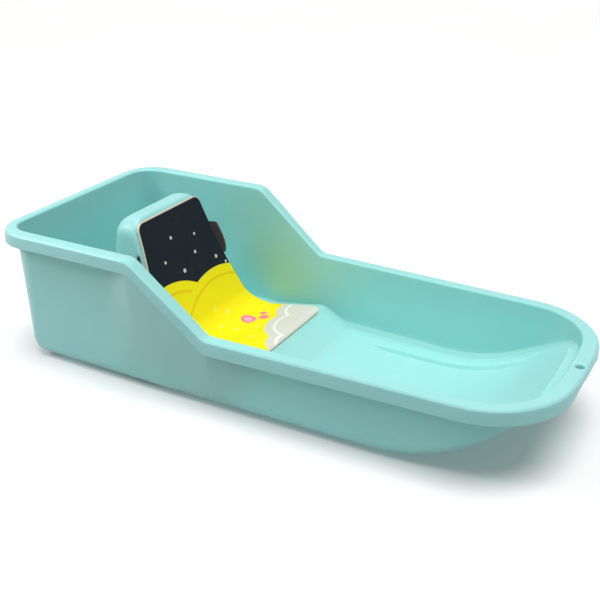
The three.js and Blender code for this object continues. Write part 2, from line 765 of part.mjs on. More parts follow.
function webbingCorners(z) {
  const slotX = backrestFrontX(z) - slotSetBack;
  const nearHalf = backrestHalf(z);
  const farHalf = backrestHalf(z - webbingDrop) + webbingStandOff;
  const turn = webbingThickness / 2 + seatingGap;
  const past = barSlotLength / 2 + barLength + seatingGap + webbingThickness / 2;
  const rearCorner = backrestRearCorner + webbingStandOff;
  const reach = mix(bulgeLowShare, 1, (z - webbingRise) / webbingWidth + 1 / 2);
  const side = (s) => [
    [runX, s * farHalf, rearCorner],
    [slotX + bulgeLean * reach, s * (nearHalf + wall + bulgeReach * reach), bulgeRadius],
    [slotX, s * (nearHalf + wall), slotTurnRadius],
  ];
  return [
    [layerX, sewnEndY],
    [layerX, socketSlotY + past + barLength, 2 * turn],
    [overX, socketSlotY + past, turn + turnRadius],
    [overX, socketSlotY, turnRadius],
    [runX, socketSlotY, turnRadius],
    ...side(1),
    ...side(-1).reverse(),
    [runX, plugSlotY, turnRadius],
    [overX, plugSlotY, turnRadius],
    [overX, plugSlotY - past, turn + turnRadius],
    [layerX, plugSlotY - past - barLength, 2 * turn],
    [layerX, tailEndY],
  ];
}

// The webbing lies level inside the backrest and drops between the slot and the fold beside it.
function webbing() {
  const edges = [-1, 1].map((side) => {
    const z = webbingRise + (side * webbingWidth) / 2;
    const path = roundedPath(webbingCorners(z), filletSteps + 1);
    const exit = path.findIndex((p) => Math.abs(p[0] - backrestFrontX(z) + slotSetBack) < wall / 4);
    const last = path.length - 1 - [...path].reverse()
      .findIndex((p) => Math.abs(p[0] - backrestFrontX(z) + slotSetBack) < wall / 4);
    return path.map((p, i) => {
      const before = path[Math.max(0, i - 1)];
      const after = path[Math.min(path.length - 1, i + 1)];
      const run = Math.hypot(after[0] - before[0], after[1] - before[1]);
      const normal = [-(after[1] - before[1]) / run, (after[0] - before[0]) / run];
      const past = Math.max(0, exit - i, i - last);
      const fall = webbingDrop * smooth(past / (filletSteps + 2));
      const at = (h) => [p[0] + normal[0] * h, p[1] + normal[1] * h, z - fall];
      return [at(webbingThickness / 2), at(-webbingThickness / 2)];
    });
  });
  const rings = edges[0].map((low, i) => [low[0], low[1], edges[1][i][1], edges[1][i][0]]);
  return toGeometry(toSolid(ringSolid(rings)));
}

// Buckle pieces are drawn flat, as [along the belt from the mating face, up], and stand on the backrest's rear face

function outward(shape, from, thickness) {
  const slab = new THREE.ExtrudeGeometry(shape, { depth: thickness, bevelEnabled: false, curveSegments: 4 });
  const stand = new THREE.Matrix4().makeBasis(
    new THREE.Vector3(0, -1, 0), new THREE.Vector3(0, 0, 1), new THREE.Vector3(-1, 0, 0),
  );
  slab.applyMatrix4(stand);
  slab.translate(backrestRearX - from, 0, buckleRise);
  return toSolid(slab);
}

function flatShape(points) {
  return new THREE.Shape(points.map((p) => new THREE.Vector2(p[0], p[1])));
}

function roundedBlock(fromY, toY, halfHeight, radius) {
  const shape = new THREE.Shape();
  const arc = (y, z, start) => shape.absarc(y, z, radius, start, start + Math.PI / 2, false);
  shape.moveTo(fromY + radius, -halfHeight);
  arc(toY - radius, radius - halfHeight, 1.5 * Math.PI);
  arc(toY - radius, halfHeight - radius, 0);
  arc(fromY + radius, halfHeight - radius, Math.PI / 2);
  arc(fromY + radius, radius - halfHeight, Math.PI);
  return shape;
}

function rectangle(fromY, toY, fromZ, toZ) {
  return flatShape([[fromY, fromZ], [toY, fromZ], [toY, toZ], [fromY, toZ]]);
}

const buckleFrom = webbingStandOff / 4;
const barFrom = backrestRearX - barInnerX;
const barHalf = webbingWidth / 2 + barSlotMargin;

// Cuts that leave only a thin bar at one end of a buckle half, with a slot before it.
function barCuts(slotFrom, slotTo, end) {
  const low = Math.min(slotFrom, end);
  const high = Math.max(slotTo, end);
  return union([
    outward(rectangle(slotFrom, slotTo, -barHalf, barHalf), buckleFrom - overrun, buckleThickness + 2 * overrun),
    outward(rectangle(low, high, -barHalf, barHalf), barFrom + barThickness, buckleThickness),
    outward(rectangle(low, high, -barHalf, barHalf), buckleFrom - overrun, barFrom - buckleFrom + overrun),
  ]);
}

function buckleSocket() {
  const end = -socketLength;
  const block = outward(roundedBlock(end, -seatingGap, buckleWidth / 2, buckleCorner), buckleFrom, buckleThickness);
  const cavity = outward(
    rectangle(-socketDepth, overrun, -socketMouth / 2, socketMouth / 2),
    buckleFrom + socketSkin, buckleThickness - 2 * socketSkin,
  );
  const windows = outward(
    rectangle(-windowStart - windowLength, -windowStart, -buckleWidth, buckleWidth),
    buckleFrom + socketSkin, buckleThickness - 2 * socketSkin,
  );
  const slotTo = end + barLength + barSlotLength;
  return block.subtract(cavity).subtract(windows).subtract(barCuts(end + barLength, slotTo, end - overrun));
}

function bucklePlug() {
  const base = outward(roundedBlock(0, plugLength, buckleWidth / 2, buckleCorner), buckleFrom, buckleThickness);
  const inside = buckleFrom + socketSkin + prongPlay;
  const tongue = outward(
    flatShape([
      [overrun, -tongueWidth / 2], [overrun, tongueWidth / 2], [-tongueLength + tongueWidth / 3, tongueWidth / 2],
      [-tongueLength, tongueWidth / 4], [-tongueLength, -tongueWidth / 4],
      [-tongueLength + tongueWidth / 3, -tongueWidth / 2],
    ]),
    inside, buckleThickness - 2 * (socketSkin + prongPlay),
  );
  const slotTo = plugLength - barLength;
  return base.subtract(barCuts(slotTo - barSlotLength, slotTo, plugLength + overrun)).add(tongue);
}

// Release prong: an arm with a barb whose flat stands in the socket's window. Its tip swings in when it is squeezed.
function releaseProng(side) {
  const arm = prongArm / 2;
  const catchX = -windowStart - prongPlay;
  const insideEdge = socketMouth / 2 - prongPlay;
  const windowEnd = -windowStart - windowLength + prongPlay;
  const points = [
    [-seatingGap, prongRoot], [-seatingGap, prongRoot + arm], [catchX + arm, prongRoot + 1.2 * arm],
    [catchX, prongRoot + 1.6 * arm], [catchX, prongReach - arm / 2], [catchX - arm / 2, prongReach],
    [catchX - 3 * arm, prongReach], [windowEnd + arm, (insideEdge + prongReach) / 2],
    [windowEnd, insideEdge], [-prongLength, insideEdge - arm], [-prongLength, prongRoot + 2 * arm],
    [windowEnd, prongRoot + arm], [catchX, prongRoot - arm / 2], [-seatingGap - arm / 2, prongRoot - arm],
  ];
  const oriented = side > 0 ? points : points.map(([y, z]) => [y, -z]);
  return outward(
    flatShape(oriented), buckleFrom + socketSkin + prongPlay, buckleThickness - 2 * (socketSkin + prongPlay),
  );
}

function beltKeeper() {
  const from = keeperY - keeperLength / 2;
  const to = keeperY + keeperLength / 2;
  const inner = webbingStandOff - seatingGap;
  const outer = backrestRearX - layerX + webbingThickness / 2 + seatingGap;
  const outline = (grow) => roundedBlock(-to - grow, -from + grow, barHalf + keeperSkin - (grow > 0 ? keeperSkin : 0),
    keeperSkin);
  const block = outward(outline(0), inner - keeperSkin, outer - inner + 2 * keeperSkin);
  return block.subtract(outward(outline(overrun), inner, outer - inner));
}

// Materials and assembly

function material(colour, roughness, metalness = 0) {
  return new THREE.MeshStandardMaterial({ color: colour, roughness, metalness });
}

const sled = new THREE.Group();
sled.position.z = runnerDepth;

function addPiece(name, geometry, look) {
  const mesh = new THREE.Mesh(geometry, look);
  mesh.name = name;
  sled.add(mesh);
}

const turquoise = 0x93d3cc;
const creamFoam = 0xe6e2cf;
const navyPrint = 0x242e38;
const darkWebbing = 0x2b241f;
const blackAcetal = 0x151719;

addPiece('hull', toGeometry(hull()), material(turquoise, 0.38));
addPiece('seat_pad_foam', seatSheet(seatingGap, foamThickness, 0, foamEdgeRadius), material(creamFoam, 0.85));
addPiece(
  'seat_pad_cover',
  seatSheet(padTotal + seatingGap, coverThickness, coverMargin, coverThickness / 3),
  material(navyPrint, 0.5),
);
addPiece('belt_webbing', webbing(), material(darkWebbing, 0.9));
addPiece('buckle_socket', toGeometry(buckleSocket()), material(blackAcetal, 0.45));
addPiece('buckle_plug', toGeometry(bucklePlug()), material(blackAcetal, 0.45));
addPiece('buckle_prong_upper', toGeometry(releaseProng(1)), material(blackAcetal, 0.45));
addPiece('buckle_prong_lower', toGeometry(releaseProng(-1)), material(blackAcetal, 0.45));
addPiece('belt_keeper', toGeometry(beltKeeper()), material(blackAcetal, 0.5));

export default sled;
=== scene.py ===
"""Looks of the baby pull sled: moulded tub, printed seat pad, webbing belt and its buckle.

Lengths are metres in the part's own frame: +X to the bow, +Y to the rider's left, +Z up, runners on z = 0.
"""

from __future__ import annotations

import logging
import math
from dataclasses import dataclass, field
from enum import Enum
from typing import Callable

import bpy
from mathutils import Matrix, Vector

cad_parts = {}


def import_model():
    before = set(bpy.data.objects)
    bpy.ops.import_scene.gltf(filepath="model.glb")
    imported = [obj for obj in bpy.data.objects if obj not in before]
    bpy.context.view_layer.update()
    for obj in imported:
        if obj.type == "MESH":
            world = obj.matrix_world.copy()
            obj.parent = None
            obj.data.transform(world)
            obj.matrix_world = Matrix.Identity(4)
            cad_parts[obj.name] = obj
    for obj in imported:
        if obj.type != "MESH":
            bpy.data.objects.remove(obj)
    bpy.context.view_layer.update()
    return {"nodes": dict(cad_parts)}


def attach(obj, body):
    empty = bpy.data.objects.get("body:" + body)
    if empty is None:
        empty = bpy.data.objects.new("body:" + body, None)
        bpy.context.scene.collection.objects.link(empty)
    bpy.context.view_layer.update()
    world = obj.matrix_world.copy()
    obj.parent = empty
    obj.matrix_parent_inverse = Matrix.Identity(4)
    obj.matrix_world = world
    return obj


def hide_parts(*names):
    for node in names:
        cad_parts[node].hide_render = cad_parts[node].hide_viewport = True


log = logging.getLogger("sled")
Corner = tuple[float, float, float]
Point = tuple[float, float]
Socket = bpy.types.NodeSocket
Piece = bpy.types.Object
Material = bpy.types.Material

WELD = 0.00001
FLAT_ANGLE = math.radians(0.3)
BLANK_BEVEL_ANGLE = math.radians(50)
BLANK_SMOOTH_ANGLE = math.radians(40)
STRAIGHT = 1e-9


class Ink(Enum):
    """Colours of the moulding, the print, the belt and the floor, as sRGB shares."""

    TURQUOISE = (0.660, 0.886, 0.876)
    TURQUOISE_DEEP = (0.646, 0.876, 0.866)
    NAVY = (0.062, 0.098, 0.150)
    YELLOW = (1.000, 0.930, 0.000)
    AMBER = (0.975, 0.830, 0.000)
    PALE_YELLOW = (0.985, 0.945, 0.420)
    GREY = (0.850, 0.850, 0.815)
    WHITE = (0.950, 0.950, 0.930)
    PINK = (0.965, 0.520, 0.610)
    ROSE = (0.990, 0.700, 0.760)
    CREAM = (0.910, 0.890, 0.800)
    CREAM_PIT_SHADE = (0.830, 0.800, 0.690)
    BELT = (0.150, 0.125, 0.105)
    BELT_LIGHT = (0.230, 0.195, 0.165)
    THREAD = (0.330, 0.290, 0.240)
    NYLON = (0.070, 0.075, 0.082)
    NYLON_LIGHT = (0.110, 0.115, 0.122)
    FLOOR = (0.975, 0.976, 0.975)
    BACKDROP = (1.000, 1.000, 1.000)

    def linear(self) -> tuple[float, float, float, float]:
        """Returns the colour as Blender's linear RGBA."""
        shares = [c / 12.92 if c <= 0.04045 else ((c + 0.055) / 1.055) ** 2.4 for c in self.value]
        return (shares[0], shares[1], shares[2], 1.0)


class Bench:
    """Adds and joins the nodes of one material."""

    def __init__(self, name: str) -> None:
        """Starts a material with a bare shader.

        Args:
            name: The material's name.
        """
        self.material = bpy.data.materials.new(name)
        self.material.use_nodes = True
        self.tree = self.material.node_tree
        self.shader = self.tree.nodes["Principled BSDF"]

    def wire(self, source: Socket, target: Socket) -> None:
        """Joins an output to an input."""
        self.tree.links.new(source, target)

    def feed(self, target: Socket, value: object) -> None:
        """Sets an input to a number or colour, or joins it to a socket.

        Args:
            target: The input.
            value: A number, a colour, or another node's output.
        """
        if isinstance(value, Socket):
            self.wire(value, target)
        else:
            target.default_value = value

    def place(self, uv: bool = False) -> Socket:
        """Returns object coordinates, or the piece's own UV map."""
        node = self.tree.nodes.new("ShaderNodeTexCoord")
        return node.outputs["UV" if uv else "Object"]

    def math(self, operation: str, a: object, b: object = 0.0) -> Socket:
        """Returns the result of a sum on two values.

        Args:
            operation: Blender's name of the operation.
            a: First number or socket.
            b: Second number or socket.
        """
        node = self.tree.nodes.new("ShaderNodeMath")
        node.operation = operation
        self.feed(node.inputs[0], a)
        self.feed(node.inputs[1], b)
        return node.outputs[0]

    def ramp(
        self, value: object, low: float, high: float, to_low: float = 0.0, to_high: float = 1.0
    ) -> Socket:
        """Returns value stretched from low and high to another pair, and held there.

        Args:
            value: The number to stretch.
            low: Value that gives to_low.
            high: Value that gives to_high.
            to_low: Result at low.
            to_high: Result at high.
        """
        node = self.tree.nodes.new("ShaderNodeMapRange")
        names = ("Value", "From Min", "From Max", "To Min", "To Max")
        for name, number in zip(names, (value, low, high, to_low, to_high)):
            self.feed(node.inputs[name], number)
        return node.outputs[0]

    def noise(self, place: Socket, scale: float, detail: float = 3.0) -> Socket:
        """Returns a soft random value.

        Args:
            place: Coordinates.
            scale: Waves per metre.
            detail: Finer layers on top.
        """
        node = self.tree.nodes.new("ShaderNodeTexNoise")
        node.inputs["Scale"].default_value = scale
        node.inputs["Detail"].default_value = detail
        self.wire(place, node.inputs["Vector"])
        return node.outputs["Fac"]

    def cells(self, place: Socket, scale: float) -> Socket:
        """Returns the distance to the nearest cell centre."""
        node = self.tree.nodes.new("ShaderNodeTexVoronoi")
        node.inputs["Scale"].default_value = scale
        self.wire(place, node.inputs["Vector"])
        return node.outputs["Distance"]

    def blend(self, share: object, a: object, b: object) -> Socket:
        """Returns colour a where share is 0 and b where it is 1."""
        node = self.tree.nodes.new("ShaderNodeMix")
        node.data_type = "RGBA"
        self.feed(node.inputs["Factor"], share)
        for slot, value in ((6, a), (7, b)):
            self.feed(node.inputs[slot], value.linear() if isinstance(value, Ink) else value)
        return node.outputs[2]

    def split(self, place: Socket) -> list[Socket]:
        """Returns the X, Y and Z of coordinates."""
        node = self.tree.nodes.new("ShaderNodeSeparateXYZ")
        self.wire(place, node.inputs[0])
        return list(node.outputs)

    def relief(self, layers: list[tuple[Socket, float]]) -> None:
        """Stacks bump layers on the shader.

        Args:
            layers: Height sockets, each with its depth in metres.
        """
        before = None
        for height, depth in layers:
            node = self.tree.nodes.new("ShaderNodeBump")
            node.inputs["Distance"].default_value = depth
            self.wire(height, node.inputs["Height"])
            if before is not None:
                self.wire(before, node.inputs["Normal"])
            before = node.outputs["Normal"]
        self.wire(before, self.shader.inputs["Normal"])

    def set(self, **values: float) -> None:
        """Sets the shader's own inputs, with _ in place of a space in their names."""
        for name, value in values.items():
            self.shader.inputs[name.replace("_", " ")].default_value = value


@dataclass(frozen=True)
class MouldedPlastic:
    """Satin polyethylene with faint flow marks, a fine orange-peel skin and scuffed runners."""

    tint_scale: float = 7.0
    peel_scale: float = 260.0
    peel_depth: float = 0.00002
    grain_scale: float = 2600.0
    grain_depth: float = 0.00001
    runner_wear_height: float = 0.0035
    scratch_scale: float = 900.0
    wear_tint: float = 0.35
    wear_rough: float = 0.3
    smear_scale: float = 34.0
    gloss: tuple[float, float] = (0.30, 0.35)
    depth_of_light: float = 0.005
    light_by_colour: tuple[float, float, float] = (0.5, 1.0, 1.0)

    def build(self) -> Material:
        """Returns the finished material."""
        bench = Bench("moulded_turquoise")
        place = bench.place()
        clouds = bench.noise(place, self.tint_scale, 4.0)
        flow = bench.ramp(clouds, 0.35, 0.7)
        colour = bench.blend(flow, Ink.TURQUOISE, Ink.TURQUOISE_DEEP)
        height = bench.split(place)[2]
        low = bench.ramp(height, self.runner_wear_height, 0.0)
        scratches = bench.noise(place, self.scratch_scale, 6.0)
        worn = bench.math("MULTIPLY", low, bench.ramp(scratches, 0.45, 0.65))
        colour = bench.blend(bench.math("MULTIPLY", worn, self.wear_tint), colour, Ink.WHITE)
        bench.wire(colour, bench.shader.inputs["Base Color"])
        smear = bench.ramp(bench.noise(place, self.smear_scale, 5.0), 0.3, 0.7, *self.gloss)
        rough = bench.math("ADD", smear, bench.math("MULTIPLY", worn, self.wear_rough))
        bench.wire(rough, bench.shader.inputs["Roughness"])
        peel = bench.noise(place, self.peel_scale, 2.0)
        grain = bench.noise(place, self.grain_scale, 2.0)
        bench.relief([(peel, self.peel_depth), (grain, self.grain_depth), (worn, self.grain_depth)])
        bench.set(IOR=1.5, Specular_IOR_Level=0.4)
        bench.set(Subsurface_Weight=1.0, Subsurface_Scale=self.depth_of_light)
        bench.shader.inputs["Subsurface Radius"].default_value = self.light_by_colour
        return bench.material


@dataclass(frozen=True)
class Disc:
    """A printed round on the pad: its place along the pad from the top edge, across it, and its radius."""

    along: float
    across: float
    radius: float


@dataclass(frozen=True)
class PrintedCover:
    """Matt printed film over the foam: dark sky, yellow hills, a pale snow edge and a few pink dots."""

    edge: float = 0.0005
    hills: tuple[Disc, ...] = (
        Disc(0.232, -0.064, 0.130),
        Disc(0.262, 0.052, 0.146),
        Disc(0.236, 0.128, 0.086),
    )
    snow: tuple[Disc, ...] = (
        Disc(0.372, -0.112, 0.048),
        Disc(0.366, -0.044, 0.046),
        Disc(0.350, 0.014, 0.052),
        Disc(0.334, 0.072, 0.070),
        Disc(0.314, 0.132, 0.064),
    )
    berries: tuple[Disc, ...] = (
        Disc(0.226, 0.066, 0.0130),
        Disc(0.246, 0.082, 0.0085),
        Disc(0.236, 0.097, 0.0060),
        Disc(0.196, -0.050, 0.0100),
        Disc(0.212, -0.064, 0.0065),
    )
    flecks: tuple[Disc, ...] = (
        Disc(0.176, 0.026, 0.0035),
        Disc(0.192, 0.050, 0.0045),
        Disc(0.206, 0.014, 0.0030),
        Disc(0.228, 0.026, 0.0042),
        Disc(0.256, 0.046, 0.0035),
        Disc(0.244, -0.018, 0.0045),
        Disc(0.216, -0.020, 0.0030),
        Disc(0.268, 0.006, 0.0034),
        Disc(0.262, -0.052, 0.0040),
        Disc(0.284, -0.028, 0.0044),
        Disc(0.296, -0.076, 0.0040),
        Disc(0.166, -0.082, 0.0034),
    )
    flakes: tuple[Disc, ...] = (
        Disc(0.096, -0.012, 0.0032),
        Disc(0.078, 0.026, 0.0026),
        Disc(0.102, 0.072, 0.0030),
        Disc(0.070, -0.048, 0.0024),
        Disc(0.052, 0.038, 0.0022),
        Disc(0.040, -0.018, 0.0026),
        Disc(0.118, 0.092, 0.0024),
    )
    band_inset: float = 0.014
    band_width: float = 0.0045
    berry_inset: float = 0.006
    speck_scale: float = 1500.0
    speck_share: float = 0.02
    weave_turns: float = 7400.0
    weave_depth: float = 0.00002
    dent_scale: float = 60.0
    dent_depth: float = 0.0004
    smear_scale: float = 90.0
    gloss: tuple[float, float] = (0.60, 0.72)

    def mask(self, bench: Bench, place: Socket, discs: tuple[Disc, ...], inset: float = 0.0) -> Socket:
        """Returns 1 inside any of the discs.

        Args:
            bench: The material under work.
            place: Coordinates along and across the pad.
            discs: The rounds.
            inset: How far each round is drawn in.
        """
        total = None
        for disc in discs:
            node = bench.tree.nodes.new("ShaderNodeVectorMath")
            node.operation = "DISTANCE"
            bench.wire(place, node.inputs[0])
            node.inputs[1].default_value = (disc.along, disc.across, 0.0)
            radius = disc.radius - inset
            inside = bench.ramp(node.outputs["Value"], radius + self.edge, radius - self.edge)
            total = inside if total is None else bench.math("MAXIMUM", total, inside)
        return total

    def ring(self, bench: Bench, place: Socket, disc: Disc) -> Socket:
        """Returns 1 on a narrow band inside a round's edge."""
        outer = self.mask(bench, place, (disc,), self.band_inset)
        inner = self.mask(bench, place, (disc,), self.band_inset + self.band_width)
        return bench.math("SUBTRACT", outer, inner)

    def build(self) -> Material:
        """Returns the finished material."""
        bench = Bench("pad_print")
        place = bench.place(uv=True)
        colour = bench.blend(self.mask(bench, place, self.flakes), Ink.NAVY, Ink.GREY)
        for hill in (self.hills[0], self.hills[2], self.hills[1]):
            colour = bench.blend(self.mask(bench, place, (hill,)), colour, Ink.YELLOW)
            colour = bench.blend(self.ring(bench, place, hill), colour, Ink.AMBER)
        colour = bench.blend(self.mask(bench, place, self.flecks), colour, Ink.PALE_YELLOW)
        colour = bench.blend(self.mask(bench, place, self.berries), colour, Ink.PINK)
        colour = bench.blend(self.mask(bench, place, self.berries[:1], self.berry_inset), colour, Ink.ROSE)
        colour = bench.blend(self.mask(bench, place, self.snow), colour, Ink.GREY)
        band_end = self.band_inset + self.band_width
        colour = bench.blend(self.mask(bench, place, self.snow, self.band_inset), colour, Ink.WHITE)
        colour = bench.blend(self.mask(bench, place, self.snow, band_end), colour, Ink.GREY)
        speck = bench.ramp(bench.noise(place, self.speck_scale, 2.0), 0.35, 0.65)
        colour = bench.blend(bench.math("MULTIPLY", speck, self.speck_share), colour, Ink.WHITE)
        bench.wire(colour, bench.shader.inputs["Base Color"])
        along, across, _ = bench.split(place)
        weft = bench.math("SINE", bench.math("MULTIPLY", along, self.weave_turns))
        warp = bench.math("SINE", bench.math("MULTIPLY", across, self.weave_turns))
        weave = bench.math("MULTIPLY", weft, warp)
        dents = bench.noise(place, self.dent_scale, 3.0)
        bench.relief([(dents, self.dent_depth), (weave, self.weave_depth)])
        rough = bench.ramp(bench.noise(place, self.smear_scale, 3.0), 0.3, 0.7, *self.gloss)
        bench.wire(rough, bench.shader.inputs["Roughness"])
        bench.set(Specular_IOR_Level=0.12)
        return bench.material


@dataclass(frozen=True)
class CreamFoam:
    """Closed-cell foam with a cut edge: fine open cells, with painted shade darkening their pits."""

    cell_scale: float = 1500.0
    smear_scale: float = 120.0
    dent_scale: float = 300.0
    depth: float = 0.00012

    def build(self) -> Material:
        """Returns the finished material."""
        bench = Bench("cream_foam")
        place = bench.place()
        cells = bench.cells(place, self.cell_scale)
        # Painted shade: the cream darkens towards each cell's middle, where the bump sinks into a pit.
        hollow_shade_and_tone = bench.ramp(cells, 0.15, 0.6)
        bench.wire(bench.blend(hollow_shade_and_tone, Ink.CREAM_PIT_SHADE, Ink.CREAM), bench.shader.inputs["Base Color"])
        rough = bench.ramp(bench.noise(place, self.smear_scale), 0.3, 0.7, 0.78, 0.9)
        bench.wire(rough, bench.shader.inputs["Roughness"])
        bench.relief([(cells, self.depth), (bench.noise(place, self.dent_scale), self.depth)])
        bench.set(Sheen_Weight=0.15, Sheen_Roughness=0.6)
        return bench.material


@dataclass(frozen=True)
class RibbedWebbing:
    """Polyester webbing woven in a fine herringbone, with painted shade in the weave's grooves and a lighter
    band near each edge.
    """

    rib: float = 0.0017
    column: float = 0.0049
    width: float = 0.049
    depth: float = 0.00030
    yarn_share: float = 0.45
    fuzz_scale: float = 700.0
    fuzz_depth: float = 0.00005
    selvedge: tuple[float, float] = (0.0020, 0.0012)

    def build(self) -> Material:
        """Returns the finished material."""
        bench = Bench("belt_webbing")
        place = bench.place(uv=True)
        along, across, _ = bench.split(place)
        turns = 2 * math.pi / self.rib
        fold = bench.math("PINGPONG", across, self.column)
        slant = bench.math("ADD", bench.math("MULTIPLY", along, turns), bench.math("MULTIPLY", fold, turns))
        twill = bench.ramp(bench.math("SINE", slant), -1.0, 1.0)
        yarns = bench.math("MULTIPLY", across, turns / self.yarn_share)
        yarn = bench.ramp(bench.math("SINE", yarns), -1.0, 1.0)
        weave = bench.math("ADD", bench.math("MULTIPLY", twill, 0.7), bench.math("MULTIPLY", yarn, 0.3))
        fuzz = bench.noise(bench.place(), self.fuzz_scale, 3.0)
        inner, outer = (self.width / 2 - inset for inset in self.selvedge)
        edge = bench.ramp(bench.math("ABSOLUTE", across), inner, outer)
        # Painted shade: the brown darkens in the weave's grooves, where the bump sinks, mixed with random
        # fuzz tone; a band near each edge is lighter.
        hollow_shade_and_tone = bench.math("MULTIPLY", weave, bench.ramp(fuzz, 0.3, 0.7, 0.4, 1.0))
        hollow_shade_and_tone = bench.math("MAXIMUM", hollow_shade_and_tone, bench.math("MULTIPLY", edge, 0.6))
        bench.wire(bench.blend(hollow_shade_and_tone, Ink.BELT, Ink.BELT_LIGHT), bench.shader.inputs["Base Color"])
        bench.wire(bench.ramp(weave, 0.0, 1.0, 0.85, 0.6), bench.shader.inputs["Roughness"])
        bench.relief([(weave, self.depth), (fuzz, self.fuzz_depth)])
        bench.set(Sheen_Weight=0.25, Sheen_Roughness=0.45)
        return bench.material


@dataclass(frozen=True)
class TwistedThread:
    """Bonded sewing thread with its twist, and painted shade darkening the twist's grooves."""

    twist: float = 5200.0
    depth: float = 0.00008

    def build(self) -> Material:
        """Returns the finished material."""
        bench = Bench("belt_thread")
        place = bench.place()
        _, across, height = bench.split(place)
        slant = bench.math("MULTIPLY", bench.math("ADD", across, height), self.twist)
        strand = bench.ramp(bench.math("SINE", slant), -1.0, 1.0)
        # Painted shade: the thread darkens to the belt's brown in the twist's grooves, where the bump sinks.
        bench.wire(bench.blend(strand, Ink.BELT_LIGHT, Ink.THREAD), bench.shader.inputs["Base Color"])
        bench.wire(bench.ramp(strand, 0.0, 1.0, 0.7, 0.5), bench.shader.inputs["Roughness"])
        bench.relief([(strand, self.depth)])
        bench.set(Sheen_Weight=0.2)
        return bench.material


@dataclass(frozen=True)
class MouldedNylon:
    """Black satin nylon with a fine spark-eroded grain and handling polish."""

    grain_scale: float = 3200.0
    depth: float = 0.00003
    polish_scale: float = 55.0
    wave_scale: float = 400.0
    wave_depth: float = 0.00002

    def build(self) -> Material:
        """Returns the finished material."""
        bench = Bench("buckle_nylon")
        place = bench.place()
        grain = bench.noise(place, self.grain_scale, 2.0)
        polish = bench.ramp(bench.noise(place, self.polish_scale, 4.0), 0.35, 0.65)
        bench.wire(bench.blend(polish, Ink.NYLON, Ink.NYLON_LIGHT), bench.shader.inputs["Base Color"])
        bench.wire(bench.ramp(polish, 0.0, 1.0, 0.46, 0.34), bench.shader.inputs["Roughness"])
        bench.relief([(grain, self.depth), (bench.noise(place, self.wave_scale), self.wave_depth)])
        bench.set(IOR=1.53)
        return bench.material


@dataclass(frozen=True)
class StudioPaper:
    """Pale seamless studio floor."""

    mottle_scale: float = 2.0
    mottle_share: float = 0.25
    smear_scale: float = 400.0

    def build(self) -> Material:
        """Returns the finished material."""
        bench = Bench("studio_floor")
        place = bench.place()
        mottle = bench.ramp(bench.noise(place, self.mottle_scale, 3.0), 0.3, 0.7)
        share = bench.math("MULTIPLY", mottle, self.mottle_share)
        bench.wire(bench.blend(share, Ink.FLOOR, Ink.WHITE), bench.shader.inputs["Base Color"])
        rough = bench.ramp(bench.noise(place, self.smear_scale), 0.3, 0.7, 0.75, 0.85)
        bench.wire(rough, bench.shader.inputs["Roughness"])
        return bench.material


def pick(piece: Piece) -> None:
    """Selects one object alone and makes it active.

    Args:
        piece: The object to work on.
    """
    bpy.ops.object.select_all(action="DESELECT")
    piece.select_set(True)
    bpy.context.view_layer.objects.active = piece


def finish_modifier(piece: Piece, kind: str, **settings: object) -> None:
    """Adds a modifier and applies it.

    Args:
        piece: The object to change.
        kind: Blender's name of the modifier.
        settings: The modifier's own settings.
    """
    modifier = piece.modifiers.new(kind.lower(), kind)
    for name, value in settings.items():
        setattr(modifier, name, value)
    pick(piece)
    bpy.ops.object.modifier_apply(modifier=modifier.name)


def dress(piece: Piece, material: Material, body: str) -> None:
    """Gives a piece its finish and the body that it moves with.

    Args:
        piece: The finished object.
        material: Its material.
        body: The body that it rides on.
    """
    piece.data.materials.clear()
    piece.data.materials.append(material)
    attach(piece, body)
    log.info("%s: %d faces, rides on %s", piece.name, len(piece.data.polygons), body)


def merge(piece: Piece, distance: float) -> None:
    """Joins a mesh's points that are closer than a distance.

    Args:
        piece: The object to change.
        distance: The distance.
    """
    pick(piece)
    bpy.ops.object.mode_set(mode="EDIT")
    bpy.ops.mesh.select_all(action="SELECT")
    bpy.ops.mesh.remove_doubles(threshold=distance)
    bpy.ops.object.mode_set(mode="OBJECT")


def drop_folds(piece: Piece) -> None:
    """Removes folded faces that enclose nothing, by keeping what a large block shares with the piece.

    Args:
        piece: The object to change.
    """
    bpy.ops.object.select_all(action="DESELECT")
    bpy.ops.mesh.primitive_cube_add(size=2.0)
    block = bpy.context.active_object
    finish_modifier(piece, "BOOLEAN", operation="INTERSECT", object=block, solver="EXACT", use_self=True)
    bpy.data.objects.remove(block)


def softened_copy(
    node: Piece, name: str, edge: float, smooth_angle: float, folded: bool = False
) -> Piece:
    """Returns a merged copy of a CAD node with its edges rounded and its curved faces smoothed.

    Args:
        node: The CAD node's object.
        name: The copy's name.
        edge: Width of the rounded edges.
        smooth_angle: Faces that meet below this angle, in radians, shade as one.
        folded: Whether the node may have folded faces, which the copy then drops.
    """
    piece = bpy.data.objects.new(name, node.data.copy())
    bpy.context.scene.collection.objects.link(piece)
    merge(piece, WELD)
    if folded:
        drop_folds(piece)
    pick(piece)
    bpy.ops.object.mode_set(mode="EDIT")
    bpy.ops.mesh.select_all(action="SELECT")
    bpy.ops.mesh.dissolve_limited(angle_limit=FLAT_ANGLE)
    bpy.ops.object.mode_set(mode="OBJECT")
    finish_modifier(
        piece, "BEVEL", width=edge, segments=2, limit_method="ANGLE", angle_limit=smooth_angle,
        use_clamp_overlap=True, harden_normals=False,
    )
    pick(piece)
    bpy.ops.object.shade_smooth_by_angle(angle=smooth_angle)
    finish_modifier(piece, "WEIGHTED_NORMAL", keep_sharp=True, weight=60)
    return piece


